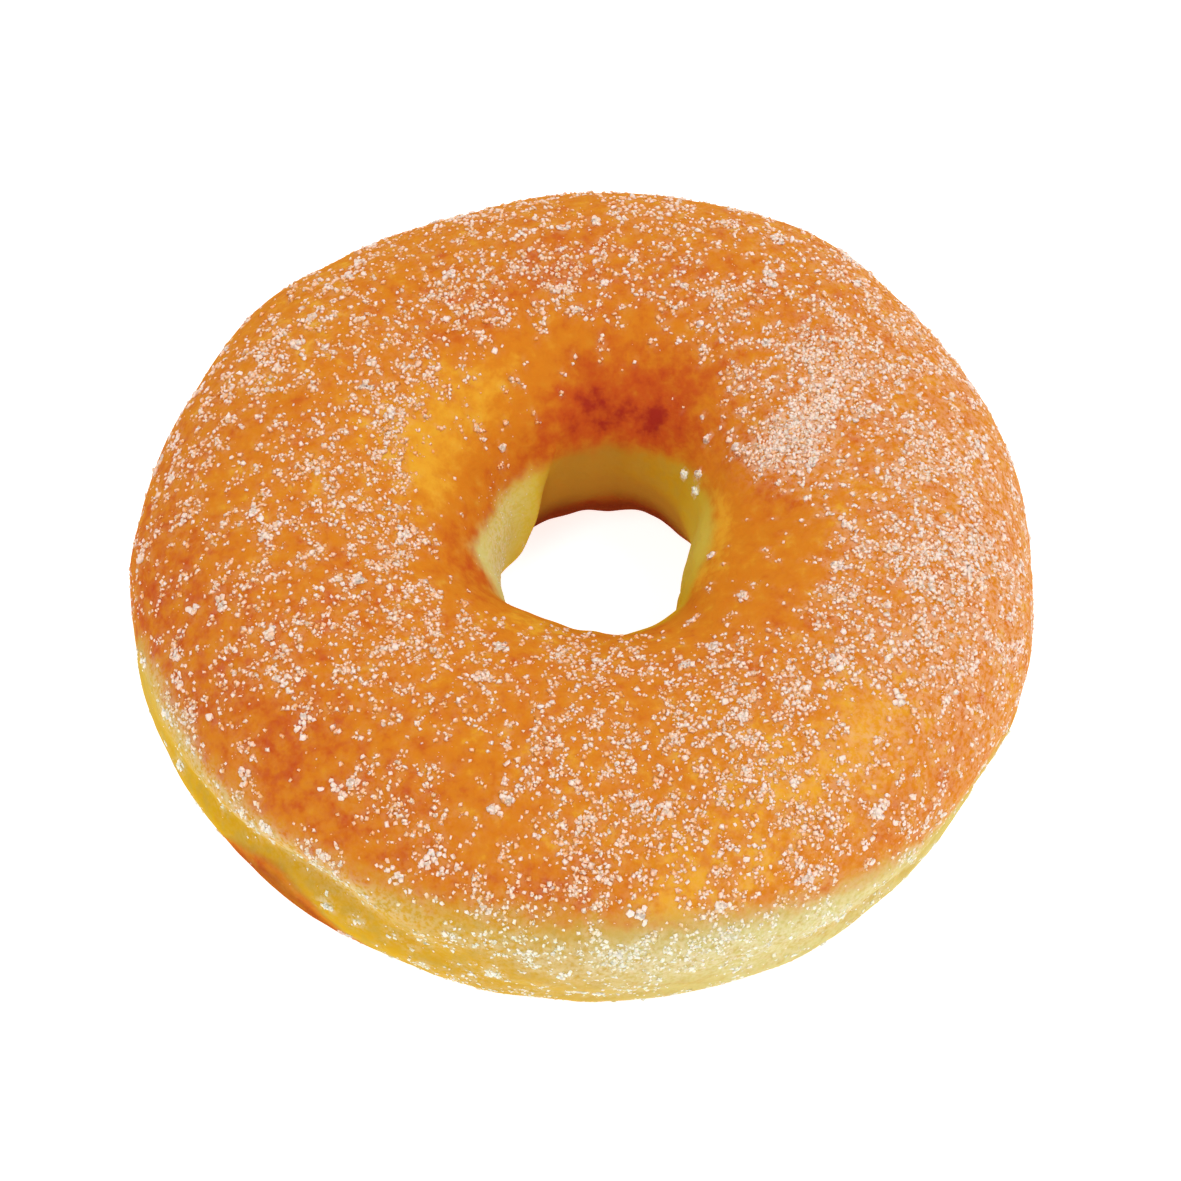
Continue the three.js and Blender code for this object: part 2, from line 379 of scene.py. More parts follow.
def mesh_object(name, points, faces, material):
    """A smooth object from arrays of points in millimetres and of faces with the same number of corners."""
    mesh = bpy.data.meshes.new(name)
    mesh.vertices.add(len(points))
    mesh.vertices.foreach_set("co", (points * MM).astype(np.float32).ravel())
    mesh.loops.add(faces.size)
    mesh.loops.foreach_set("vertex_index", faces.astype(np.int32).ravel())
    mesh.polygons.add(len(faces))
    mesh.polygons.foreach_set("loop_start", np.arange(0, faces.size, faces.shape[1], dtype=np.int32))
    mesh.update(calc_edges=True)
    mesh.shade_smooth()
    mesh.materials.append(material)
    piece = bpy.data.objects.new(name, mesh)
    bpy.context.scene.collection.objects.link(piece)
    return piece


def add_field(piece, name, values):
    field = piece.data.attributes.new(name, "FLOAT", "POINT")
    field.data.foreach_set("value", np.asarray(values, np.float32).ravel())


# Sugar
# The section where the sugar stops on the slope into the hole, by azimuth
SUGAR_END = [
    (0, 108), (14, 124), (25, 133), (40, 137), (51, 115), (70, 106), (100, 103), (120, 103), (136, 104),
    (150, 114), (172, 116), (195, 121), (214, 119), (236, 128), (255, 146), (290, 140), (304, 124),
    (312, 117), (326, 101), (345, 93),
]
SUGAR_FADE = 11.0
SUGAR_RAGGED = [(3.2, 9), (1.3, 6)]  # size in millimetres, degrees that the edge strays
SUGAR_LOOSE = 0.07  # thickness beyond that edge
SUGAR_LOOSE_END = 140
SUGAR_UNDER = (0, 25)  # sections between which it thickens upwards
SUGAR_LEAST = 0.4  # thickness below them
SUGAR_FLOOR_GAP = (0.5, 4.0)  # millimetres above the floor: none below the first, and all above the second
SUGAR_CLOUDS = [(7.0, 0.48), (3.2, 0.6)]  # size in millimetres, how much thicker or thinner
SUGAR_SEED = 407
RAGGED_SEED = 412
# Where sugar is thicker (above 0) or thinner: azimuth, spread, section, spread, by how much
SUGAR_PATCHES = [
    (20, 6, 112, 11, 2.3), (33, 7, 88, 9, 1.2), (119, 7, 86, 7, 0.8), (99, 5, 90, 5, 0.6),
    (79, 4, 96, 6, 0.5), (194, 9, 119, 8, 0.9), (220, 8, 118, 6, 0.5), (304, 14, 108, 8, 0.5),
    (270, 8, 52, 9, 0.8), (248, 4, 51, 6, 0.9), (239, 8, 28, 5, 0.15), (198, 5, 30, 8, 0.3),
    (160, 14, 50, 12, 0.3), (317, 6, 58, 11, -2.2), (229, 7, 47, 8, -1.9), (239, 6, 42, 6, -1.1),
    (219, 6, 44, 8, -0.4), (248, 6, 78, 10, -0.4), (278, 4, 54, 8, -0.6), (308, 16, 84, 12, 0.35),
    (285, 20, 20, 12, -0.2), (222, 22, 6, 9, -1.2), (190, 30, 10, 14, -0.3), (20, 30, 20, 16, -0.3),
    (90, 50, 26, 14, -0.8), (142, 18, 117, 12, 1.3), (228, 12, -4, 8, -4.0), (274, 14, 22, 9, 1.2),
    (284, 10, 70, 12, 0.2), (303, 9, 64, 12, 0.7), (175, 9, 106, 10, 0.8), (345, 16, 85, 10, 0.6),
    (262, 9, 84, 9, 0.7), (242, 7, -6, 9, 1.2), (128, 14, 100, 8, -0.9), (283, 7, 46, 9, -0.7),
    (200, 7, 108, 8, -0.4), (214, 14, 52, 22, -0.6), (233, 7, 58, 9, -0.1), (258, 6, 58, 14, -0.8),
    (340, 14, 10, 14, -0.5), (5, 16, 82, 18, 0.1), (345, 20, 96, 14, -0.5), (330, 10, 74, 10, -0.3),
    (46, 10, 84, 10, -0.5), (316, 8, 0, 8, -0.6), (303, 8, 10, 9, -0.4), (206, 12, 112, 16, 0.3),
    (114, 5, 122, 6, 1.2), (188, 10, 30, 16, -0.9), (140, 16, 33, 12, -0.8), (204, 8, 14, 8, -0.4),
    (206, 14, 23, 6, 0.4), (276, 7, 14, 7, 0.5), (282, 9, 34, 6, -0.6), (313, 6, 40, 6, -0.5),
    (246, 6, 38, 6, -0.5), (72, 16, 48, 10, -0.6), (146, 9, 96, 9, -0.3), (256, 6, 71, 6, -0.5),
    (262, 12, 24, 7, -0.7), (238, 14, 20, 9, -0.3), (105, 38, 66, 24, -0.2), (285, 28, 78, 20, 0.2),
    (350, 30, 62, 28, 0.5), (150, 12, 109, 8, 0.4), (219, 4, 50, 9, 0.4), (258, 8, 52, 7, -0.3),
    (290, 8, 48, 7, 0.25), (267, 8, 144, 6, -0.7), (236, 6, 82, 7, -0.6), (186, 8, 58, 8, -0.5),
]
CLUSTERS = 9000
CLUSTER_PULL = (0.7, 1.5)  # shape and scale of how strongly clusters draw grains
CLUSTER_PULL_LEAST = 0.1
CLUSTER_SPREAD = (0.32, 0.13)  # millimetres along and across a middling cluster
STRAY_SHARE = 0.17  # of the grains lie by themselves
# Grains of each kind, and those of the largest that aren't in the largest clumps
DUST_GRAINS = 15000
FINE_GRAINS = 14200
MIDDLING_GRAINS = 8800
LOOSE_COARSE_GRAINS = 400
# The least and the most length of each kind, in millimetres
DUST_SIZES = (0.15, 0.28)
FINE_SIZES = (0.30, 0.46)
MIDDLING_SIZES = (0.40, 0.60)
COARSE_SIZES = (0.42, 0.68)
KIND_SEEDS = (1, 2, 3, 4)
FOLD_DUST = 150  # on the near side of the fold
SUGAR_ON_FOLD = 0.06  # thickness there
# Fine haze between the grains, by azimuth, how much of it there is on top against the outer edge, the
# sections between which it lessens, and how far it reaches before and past the sugar's end
DUSTING = [
    (0, 0.42), (30, 0.3), (50, 0.2), (80, 0.05), (150, 0.03), (270, 0.03), (315, 0.12), (335, 0.36),
]
DUSTING_ON_TOP = 0.12
DUSTING_LESSENS = (40, 85)
DUSTING_EDGE = (-30, 15)
# Sugar melted into the pale band, and haze on the crust: azimuth, spread, section, spread, how much
FROSTED = [
    (200, 8, 24, 6, 0.3), (213, 12, 24, 6, 0.3), (230, 10, 26, 5, 0.3), (243, 8, 23, 6, 0.25),
    # The last of these, at azimuth 300, is melted sugar that also lightens the band as painted light, where
    # it faces away from the lamps
    (274, 8, 15, 7, 0.25), (284, 7, 10, 7, 0.2), (300, 9, 2, 11, 0.35),
]
HAZY = [(20, 6, 112, 9, 0.9), (33, 6, 88, 7, 0.35), (317, 7, 59, 9, 0.2)]
FROST_ON_FOLD = 0.5
# Haze round the grains: the most, how fast it rises with the sugar, how much stronger it is on the band,
# and its share by azimuth
HAZE_MOST = 0.65
HAZE_RISE = 1.5
HAZE_ON_BAND = 2.0
HAZE_BY_AZIMUTH = [
    (5, 1.2), (40, 0.9), (80, 0.5), (120, 0.45), (250, 0.4), (285, 0.3), (320, 0.6), (345, 1.0),
]

# The form and place of a grain
GRAIN_WIDTH = (0.6, 1.0)  # of its length
GRAIN_THICKNESS = (0.3, 0.55)  # of its length
GRAIN_CROOKED = 0.19  # how far a corner may stray, as a share of each side
GRAIN_LEAN = 0.3  # spread of the tangent of how far it leans
GRAIN_SUNK = 0.38  # of its thickness
SUNK_AT_EDGE = 0.22  # of its length, how much deeper it sits round the outer edge
SUNK_EDGE = (10, 45)  # the sections between which that ends
# Powers of a random share: above 1, long, high and white grains are rarer
LONG_RARER = 1.5
HIGH_RARER = 3
WHITE_RARER = 1.3
# How white a grain is: by chance, by azimuth, on the pale dough, at its top against its foot, where the
# crust shines through, and from corner to corner
WHITE_BY_CHANCE = 0.9
WHITER = [(10, 0.22), (60, 0.15), (110, 0.0), (250, 0.0), (310, 0.1)]
WHITER_ON_PALE = 0.25
WHITER_ON_TOP = 0.4
WHITER_UNEVEN = 0.35

# The largest clumps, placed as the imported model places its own
CLUMPS = 150
CLUMP_LENGTH = (1.2, 2.5)
CLUMP_SECTION = (-50, 140)
CLUMP_END = (118, 20)  # the section they stop at, and how much later that is at the near side
CLUMP_FLOOR_GAP = 2.5  # none has its middle lower than this
CLUMP_SEED = 20275
CLUMP_OTHER_DRAWS = 27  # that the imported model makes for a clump's width, thickness, corners and turn
GOLDEN_SHARE = 0.61803398875
CLUMP_GRAINS = 10
CLUMP_GRAIN_SPREAD = (0.24, 0.2)  # along the ring and round the section, as shares of the clump's length
# Small lumps by themselves round the hole: azimuth and section
RIM_LUMPS = [(44, 158), (36, 152), (32, 158), (137, 143), (30, 131), (42, 139), (344, 146)]
RIM_LUMP_LENGTH = 0.65


def sugar_density(azimuth, section):
    """How thick the sugar lies, about 1 on average where there is any."""
    points = dough(azimuth, section)
    s = from_inside_out(section)
    ragged = sum(by * noise(points, size, RAGGED_SEED + k) for k, (size, by) in enumerate(SUGAR_RAGGED))
    thick = smooth_step(-SUGAR_FADE, SUGAR_FADE, around(SUGAR_END, azimuth) + ragged - s)
    thick = np.maximum(thick, SUGAR_LOOSE * (s < SUGAR_LOOSE_END))
    thick = np.maximum(thick, SUGAR_ON_FOLD * on_fold(azimuth, section))
    thick = thick * (SUGAR_LEAST + (1 - SUGAR_LEAST) * smooth_step(*SUGAR_UNDER, s))
    thick = thick * smooth_step(*SUGAR_FLOOR_GAP, points[..., 2])
    patchy = sum(by * noise(points, size, SUGAR_SEED + k) for k, (size, by) in enumerate(SUGAR_CLOUDS))
    return thick * np.exp(patches(SUGAR_PATCHES, azimuth, section) + patchy)


def cell_sizes(azimuth, section):
    """Millimetres of crust for a degree of azimuth and for a degree of section."""
    step = 0.5  # degrees
    along = np.linalg.norm(dough(azimuth + step, section) - dough(azimuth - step, section), axis=-1)
    round_section = np.linalg.norm(dough(azimuth, section + step) - dough(azimuth, section - step), axis=-1)
    return along, round_section


def spots(random, count, thickness):
    """Random azimuths and sections that follow a thickness of the sugar."""
    azimuths = (np.arange(RING_STEPS) + 0.5) * 360 / RING_STEPS
    sections = (np.arange(SECTION_STEPS) + 0.5) * 360 / SECTION_STEPS
    a, s = (g.ravel() for g in np.meshgrid(azimuths, sections, indexing="ij"))
    weight = thickness(a, s) * np.prod(cell_sizes(a, s), axis=0)
    chosen = random.choice(len(a), size=count, p=weight / weight.sum())
    azimuth = a[chosen] + random.uniform(-0.5, 0.5, count) * 360 / RING_STEPS
    section = s[chosen] + random.uniform(-0.5, 0.5, count) * 360 / SECTION_STEPS
    return azimuth, section


def make_clusters():
    """Where the grains gather: azimuths, sections, the pull of each on the grains, and its direction."""
    random = np.random.default_rng(SUGAR_SEED)
    azimuth, section = spots(random, CLUSTERS, sugar_density)
    pull = random.gamma(*CLUSTER_PULL, size=CLUSTERS) + CLUSTER_PULL_LEAST
    return azimuth, section, pull, random.uniform(0, 2 * math.pi, CLUSTERS)


def scatter(random, count, clusters):
    """Places for grains, as azimuths and sections: most in the clusters and the rest astray."""
    azimuth, section = spots(random, count, sugar_density)
    at, middle, pull, direction = clusters
    chosen = random.choice(len(at), size=count, p=pull / pull.sum())
    cell = cell_sizes(at[chosen], middle[chosen])
    along, across = (random.normal(0, spread * np.sqrt(pull[chosen])) for spread in CLUSTER_SPREAD)
    cos, sin = np.cos(direction[chosen]), np.sin(direction[chosen])
    stray = random.uniform(size=count) < STRAY_SHARE
    azimuth = np.where(stray, azimuth, at[chosen] + (along * cos - across * sin) / cell[0])
    section = np.where(stray, section, middle[chosen] + (along * sin + across * cos) / cell[1])
    return azimuth, section


def clump_spots():
    """Azimuth, section and length of each of the largest clumps."""
    state = CLUMP_SEED

    def draw():
        nonlocal state
        state = (state * 1664525 + 1013904223) % 2**32
        return state / 2**32

    made = []
    tried = 0
    while len(made) < CLUMPS:
        azimuth = 360 * (tried * GOLDEN_SHARE % 1)
        tried += 1
        section = CLUMP_SECTION[0] + (CLUMP_SECTION[1] - CLUMP_SECTION[0]) * draw()
        place = dough(np.array(azimuth), np.array(section))
        kept = draw() * OUTER_RADIUS < math.hypot(place[0], place[1])
        ends = CLUMP_END[0] - CLUMP_END[1] * math.sin(math.radians(azimuth))
        if kept and section < ends and place[2] > CLUMP_FLOOR_GAP:
            length = CLUMP_LENGTH[0] + (CLUMP_LENGTH[1] - CLUMP_LENGTH[0]) * draw() ** 2
            made.append((azimuth, section, length))
            for _ in range(CLUMP_OTHER_DRAWS):
                draw()
    return np.array(made)


def clump_grains(random):
    """Places for the grains of the largest clumps and of the small lumps round the hole."""
    lumps = np.concatenate([clump_spots(), [(*lump, RIM_LUMP_LENGTH) for lump in RIM_LUMPS]])
    at, middle, length = np.repeat(lumps, CLUMP_GRAINS, axis=0).T
    along, round_section = cell_sizes(at, middle)
    azimuth = at + random.normal(0, CLUMP_GRAIN_SPREAD[0] * length) / along
    section = middle + random.normal(0, CLUMP_GRAIN_SPREAD[1] * length) / round_section
    return azimuth, section


BOX_CORNERS = np.array([[x, y, z] for z in (-1, 1) for y in (-1, 1) for x in (-1, 1)]) / 2
BOX_FACES = np.array([[0, 2, 3, 1], [4, 5, 7, 6], [0, 1, 5, 4], [2, 6, 7, 3], [0, 4, 6, 2], [1, 3, 7, 5]])
OCTAHEDRON_CORNERS = np.array([[1, 0, 0], [0, 1, 0], [-1, 0, 0], [0, -1, 0], [0, 0, 1], [0, 0, -1]]) / 2
OCTAHEDRON_FACES = np.array(
    [[0, 1, 4], [1, 2, 4], [2, 3, 4], [3, 0, 4], [1, 0, 5], [2, 1, 5], [3, 2, 5], [0, 3, 5]]
)


def chamfered_box(chamfer):
    """The corners and faces of a cuboid of size 1 with its edges cut off: each corner becomes three."""
    corners, index = [], {}
    for sign in BOX_CORNERS * 2:
        for axis in range(3):
            point = sign * (0.5 - chamfer)
            point[axis] = sign[axis] * 0.5
            index[tuple(sign), axis] = len(corners)
            corners.append(point)
    triangles = []

    def add_face(ids):
        around_middle = np.mean([corners[i] for i in ids], axis=0)
        for k in range(1, len(ids) - 1):
            a, b, c = ids[0], ids[k], ids[k + 1]
            normal = np.cross(corners[b] - corners[a], corners[c] - corners[a])
            triangles.append([a, b, c] if normal @ around_middle > 0 else [a, c, b])

    signs = (-1.0, 1.0)
    for axis in range(3):
        p, q = [k for k in range(3) if k != axis]
        for side in signs:
            ring = []
            for u, v in ((-1.0, -1.0), (1.0, -1.0), (1.0, 1.0), (-1.0, 1.0)):
                sign = [0.0, 0.0, 0.0]
                sign[axis], sign[p], sign[q] = side, u, v
                ring.append(index[tuple(sign), axis])
            add_face(ring)
        for u in signs:
            for v in signs:
                low, high = [0.0, 0.0, 0.0], [0.0, 0.0, 0.0]
                low[axis], low[p], low[q] = -1.0, u, v
                high[axis], high[p], high[q] = 1.0, u, v
                low, high = tuple(low), tuple(high)
                add_face([index[low, p], index[high, p], index[high, q], index[low, q]])
    for sign in BOX_CORNERS * 2:
        add_face([index[tuple(sign), axis] for axis in range(3)])
    return np.array(corners), np.array(triangles)


# The forms of the grains, as corners and faces: chips of dust, cuboids narrower on top for the fine and the
# middling ones, and cuboids with their edges cut off for the coarse ones
CHIP = (OCTAHEDRON_CORNERS, OCTAHEDRON_FACES)
GRAIN = (BOX_CORNERS * np.where(BOX_CORNERS[:, 2:] > 0, [0.5, 0.5, 1], 1), BOX_FACES)
CUBOID = chamfered_box(0.2)


def turned(random, normals, lean):
    """For each normal, a frame of three axes: turned at random about it and leaning a little off it."""
    up = normals + lean * random.normal(size=normals.shape)
    up = up / np.linalg.norm(up, axis=-1, keepdims=True)
    side = np.cross(up, random.normal(size=normals.shape))
    side = side / np.linalg.norm(side, axis=-1, keepdims=True)
    return np.stack([side, np.cross(up, side), up], -2)


def grains(name, form, random, places, sizes, material, whiter=0.0, piled=0.0):
    """One kind of sugar grain as one mesh, and the area of its grains on each point of the crust.

    The sizes are the least and the most length in millimetres. Whiter adds to how white the grains are, and
    piled is how much higher the highest lie, as a share of their length.
    """
    corners, faces = form
    azimuth, section = places
    count = len(azimuth)
    normal = crust_normal(azimuth, section)
    length = sizes[0] + (sizes[1] - sizes[0]) * random.uniform(size=count) ** LONG_RARER
    width = random.uniform(*GRAIN_WIDTH, count)
    thickness = random.uniform(*GRAIN_THICKNESS, count)
    shape = np.stack([np.ones(count), width, thickness], -1) * length[:, None]
    high = piled * length * random.uniform(size=count) ** HIGH_RARER
    rise = shape[:, 2] * (0.5 - GRAIN_SUNK) + high
    rise = rise - SUNK_AT_EDGE * length * (1 - smooth_step(*SUNK_EDGE, from_inside_out(section)))
    place = crust(azimuth, section) + normal * rise[:, None]
    above = place[:, 2] > length
    azimuth, section = azimuth[above], section[above]
    place, shape, normal = place[above], shape[above], normal[above]
    axes = turned(random, normal, GRAIN_LEAN)
    stray = random.uniform(-GRAIN_CROOKED, GRAIN_CROOKED, (len(place), len(corners), 3))
    points = np.einsum("nck,nkd->ncd", (corners[None] + stray) * shape[:, None], axes) + place[:, None]
    shifted = faces[None] + (np.arange(len(place)) * len(corners))[:, None, None]
    piece = mesh_object(name, points.reshape(-1, 3), shifted.reshape(-1, faces.shape[1]), material)
    pale = 1 - brownness(azimuth, section)
    white = WHITE_BY_CHANCE * random.uniform(size=len(place)) ** WHITE_RARER
    white = white + around(WHITER, azimuth) + WHITER_ON_PALE * pale + whiter
    white = white[:, None] + WHITER_ON_TOP * 2 * corners[None, :, 2]
    add_field(piece, "white", white + WHITER_UNEVEN * random.uniform(-1, 1, white.shape))
    add_field(piece, "pale", np.repeat(pale, len(corners)))
    cover = np.zeros((RING_STEPS, SECTION_STEPS))
    ring_step = (azimuth * RING_STEPS / 360).round().astype(int) % RING_STEPS
    section_step = (section * SECTION_STEPS / 360).round().astype(int) % SECTION_STEPS
    np.add.at(cover, (ring_step, section_step), shape[:, 0] * shape[:, 1])
    return piece, cover


def make_sugar():
    """The four kinds of grain, each as its piece and the area of its grains on each point of the crust."""
    clusters = make_clusters()
    sugar = sugar_material()
    dust_draws, fine_draws, middling_draws, coarse_draws = map(np.random.default_rng, KIND_SEEDS)
    in_clumps = clump_grains(coarse_draws)
    coarse = np.concatenate([in_clumps, scatter(coarse_draws, LOOSE_COARSE_GRAINS, clusters)], axis=1)
    dust = scatter(dust_draws, DUST_GRAINS, clusters)
    dust = np.concatenate([dust, spots(dust_draws, FOLD_DUST, on_fold)], axis=1)
    fine = scatter(fine_draws, FINE_GRAINS, clusters)
    middling = scatter(middling_draws, MIDDLING_GRAINS, clusters)
    return [
        grains("sugar_dust", CHIP, dust_draws, dust, DUST_SIZES, sugar, whiter=-0.2),
        grains("sugar_fine", GRAIN, fine_draws, fine, FINE_SIZES, sugar, whiter=-0.05),
        grains("sugar_grains", GRAIN, middling_draws, middling, MIDDLING_SIZES, sugar, piled=0.2),
        grains("sugar_coarse", CUBOID, coarse_draws, coarse, COARSE_SIZES, sugar, whiter=0.3, piled=0.2),
    ]


# Materials
def srgb(red, green, blue):
    """A colour given as a screen shows it, 0 to 255, as Blender wants it."""
    def linear(v):
        v = v / 255
        return v / 12.92 if v <= 0.04045 else ((v + 0.055) / 1.055) ** 2.4
    return (linear(red), linear(green), linear(blue), 1.0)


class Nodes:
    """A material's node tree, with short ways to add to it."""

    def __init__(self, name):
        self.material = bpy.data.materials.new(name)
        self.material.use_nodes = True
        self.tree = self.material.node_tree
        self.shader = self.tree.nodes["Principled BSDF"]
        self.place = self.add("ShaderNodeTexCoord").outputs["Object"]

    def add(self, kind, **settings):
        node = self.tree.nodes.new(kind)
        for key, value in settings.items():
            setattr(node, key, value)
        return node

    def link(self, value, socket):
        if hasattr(value, "is_output"):
            self.tree.links.new(value, socket)
        else:
            socket.default_value = value

    def field(self, name):
        return self.add("ShaderNodeAttribute", attribute_name=name).outputs["Fac"]

    def noise(self, size_mm, detail=2.0, roughness=0.5):
        node = self.add("ShaderNodeTexNoise")
        self.link(self.place, node.inputs["Vector"])
        node.inputs["Scale"].default_value = 1 / (size_mm * MM)
        node.inputs["Detail"].default_value = detail
        node.inputs["Roughness"].default_value = roughness
        return node.outputs["Fac"]

    def math(self, operation, a, b=0.0, c=0.0, clamp=False):
        node = self.add("ShaderNodeMath", operation=operation, use_clamp=clamp)
        for value, socket in zip((a, b, c), node.inputs):
            self.link(value, socket)
        return node.outputs[0]

    def spread(self, value, low, high, to_low=0.0, to_high=1.0):
        """The value moved from the range low to high to another range, smoothly and held inside it."""
        node = self.add("ShaderNodeMapRange", interpolation_type="SMOOTHSTEP")
        for number, socket in zip((value, low, high, to_low, to_high), node.inputs):
            self.link(number, socket)
        return node.outputs[0]

    def mix(self, factor, a, b):
        node = self.add("ShaderNodeMix", data_type="RGBA")
        for value, socket in zip((factor, a, b), (node.inputs[0], node.inputs[6], node.inputs[7])):
            self.link(value, socket)
        return node.outputs[2]

    def bump(self, height, distance_mm, normal=None):
        node = self.add("ShaderNodeBump")
        node.inputs["Strength"].default_value = 1.0
        node.inputs["Distance"].default_value = distance_mm * MM
        self.link(height, node.inputs["Height"])
        if normal is not None:
            self.link(normal, node.inputs["Normal"])
        return node.outputs[0]

    def shade(self, inputs):
        """Links or sets the shader's inputs, by name, and gives the material."""
        for name, value in inputs.items():
            self.link(value, self.shader.inputs[name])
        return self.material


# Colours of the crust, the pale band, the fold and the wall of the hole, and the sugar. The fold's are
# painted light, and the ochre and brown are painted shade, the brown also the fried underside's own
CRUST_ORANGE = srgb(213, 127, 32)
CRUST_RED = srgb(194, 82, 31)
CRUST_DEEP = srgb(162, 46, 32)
CRUST_GOLD = srgb(229, 163, 46)
PALE_YELLOW = srgb(212, 160, 18)
PALE_CREAM = srgb(206, 195, 121)
PALE_SHADE = srgb(192, 156, 66)
FOLD_PAINTED_LIGHT_YELLOW = srgb(213, 187, 48)
FOLD_PAINTED_LIGHT_CREAM = srgb(221, 216, 138)
PAINTED_SHADE_OCHRE = srgb(182, 130, 44)
BROWN_AND_PAINTED_SHADE = srgb(116, 46, 20)
HAZE = srgb(236, 186, 152)
HAZE_ON_PALE = srgb(242, 233, 202)
SUGAR_PLAIN = srgb(240, 165, 82)
SUGAR_BRIGHT = srgb(252, 225, 210)
PALE_SUGAR_PLAIN = srgb(224, 202, 124)
PALE_SUGAR_BRIGHT = srgb(250, 246, 224)
# Spots of the crust: size in millimetres, and how far they move its tone
MOTTLES = (1.6, 2.4)
BLOTCHES = (7.0, 0.8)
PORES = (0.42, 0.7)
SPECK_SIZE = 0.5  # of the haze
PORE_DEPTH = 0.05
MOTTLE_DEPTH = 0.12


def crust_material():
    """Fried crust and pale dough, mixed by the mesh's fields, with the haze of melted sugar on them."""
    n = Nodes("crust")
    mottled = n.noise(MOTTLES[0], detail=3.0)
    blotches = n.noise(BLOTCHES[0])
    pores = n.noise(PORES[0])
    texture = 0.0
    for unevenness, by in ((mottled, MOTTLES[1]), (blotches, BLOTCHES[1]), (pores, PORES[1])):
        texture = n.math("MULTIPLY_ADD", n.math("SUBTRACT", unevenness, 0.5), by, texture)
    tone = n.math("MULTIPLY_ADD", texture, n.field("texture"), n.field("tone"))
    # The fried crust: orange where the tone is 0, golden below that, red at 1 and deep red above
    brown = n.mix(n.spread(tone, -0.05, 1.2), CRUST_ORANGE, CRUST_RED)
    brown = n.mix(n.spread(tone, 1.0, 1.7), brown, CRUST_DEEP)
    brown = n.mix(n.spread(tone, 0.0, -0.9), brown, CRUST_GOLD)
    # The pale dough, with shaded spots, the fold's lighter colours as painted light, and ochre as painted
    # shade where it starts to darken
    pale = n.mix(n.field("cream_and_light"), PALE_YELLOW, PALE_CREAM)
    pale = n.mix(n.spread(mottled, 0.55, 0.35, 0.0, 0.5), pale, PALE_SHADE)
    pale = n.mix(n.field("fold"), pale, n.mix(n.field("cream_and_light"), FOLD_PAINTED_LIGHT_YELLOW, FOLD_PAINTED_LIGHT_CREAM))
    pale = n.mix(n.spread(n.field("shade_and_brown"), 0.0, 0.35), pale, PAINTED_SHADE_OCHRE)
    # They meet along a ragged edge
    ragged = n.math("MULTIPLY_ADD", n.math("SUBTRACT", mottled, 0.5), 0.8, n.field("brown"))
    fried = n.spread(ragged, 0.0, 1.0)
    colour = n.mix(fried, pale, brown)
    # Brown as painted shade on the far wall of the hole, in the crease and on the near band, and fried
    # brown with painted shade on the underside
    colour = n.mix(n.spread(n.field("shade_and_brown"), 0.3, 1.0), colour, BROWN_AND_PAINTED_SHADE)
    # Fine sugar in specks, and sugar melted into the pale dough
    specks = n.spread(n.noise(SPECK_SIZE, detail=3.0, roughness=0.6), 0.38, 0.62)
    haze = n.mix(fried, HAZE_ON_PALE, HAZE)
    colour = n.mix(n.math("MULTIPLY", specks, n.field("haze"), clamp=True), colour, haze)
    uneven = n.spread(pores, 0.35, 0.6)
    colour = n.mix(n.math("MULTIPLY", uneven, n.field("frost"), clamp=True), colour, HAZE_ON_PALE)
    return n.shade({
        "Base Color": colour,
        "Roughness": n.spread(pores, 0.3, 0.7, 0.55, 0.7),
        "Normal": n.bump(mottled, MOTTLE_DEPTH, n.bump(pores, PORE_DEPTH)),
        "Specular IOR Level": 0.0,
        "Subsurface Weight": 0.35,
        "Subsurface Radius": (1.0, 0.5, 0.2),
        "Subsurface Scale": 1.2 * MM,
    })


def sugar_material():
    """Sugar, from a plain tint where the crust shines through to a bright one."""
    n = Nodes("sugar")
    white = n.spread(n.field("white"), -0.2, 1.3)
    on_pale = n.mix(white, PALE_SUGAR_PLAIN, PALE_SUGAR_BRIGHT)
    return n.shade({
        "Base Color": n.mix(n.field("pale"), n.mix(white, SUGAR_PLAIN, SUGAR_BRIGHT), on_pale),
        "Roughness": 0.3,
        "Specular IOR Level": 0.4,
        "Subsurface Weight": 0.6,
        "Subsurface Radius": (0.4, 0.55, 0.8),
        "Subsurface Scale": 0.25 * MM,
    })


# Camera
# The photo looks down on the ring, as fitted to its outlines. The aim is a little off the ring's middle.
CAMERA_ELEVATION = 59.25
CAMERA_DISTANCE = 350.0
PHOTO_SIZE = 1181
PHOTO_SCALE = 9.85  # pixels for a millimetre at the target
TARGET_PIXEL = (584.48, 579.82)
SENSOR = 36.0


def make_camera():
    data = bpy.data.cameras.new("camera")
    data.sensor_width = SENSOR
    data.lens = PHOTO_SCALE * CAMERA_DISTANCE * SENSOR / PHOTO_SIZE
    data.clip_start = 0.01
    camera = bpy.data.objects.new("camera", data)
    e = math.radians(CAMERA_ELEVATION)
    back = Vector((0, -math.cos(e), math.sin(e)))
    up = Vector((0, math.sin(e), math.cos(e)))
    right = Vector((1, 0, 0))
    off_right = (PHOTO_SIZE / 2 - TARGET_PIXEL[0]) / PHOTO_SCALE
    off_down = (PHOTO_SIZE / 2 - TARGET_PIXEL[1]) / PHOTO_SCALE
    target = Vector((0, 0, HEIGHT / 2))
    aim = target + right * off_right - up * off_down
    place = target + back * CAMERA_DISTANCE
    camera.location = place * MM
    camera.rotation_euler = (aim - place).to_track_quat("-Z", "Y").to_euler()
    bpy.context.scene.collection.objects.link(camera)
    bpy.context.scene.camera = camera


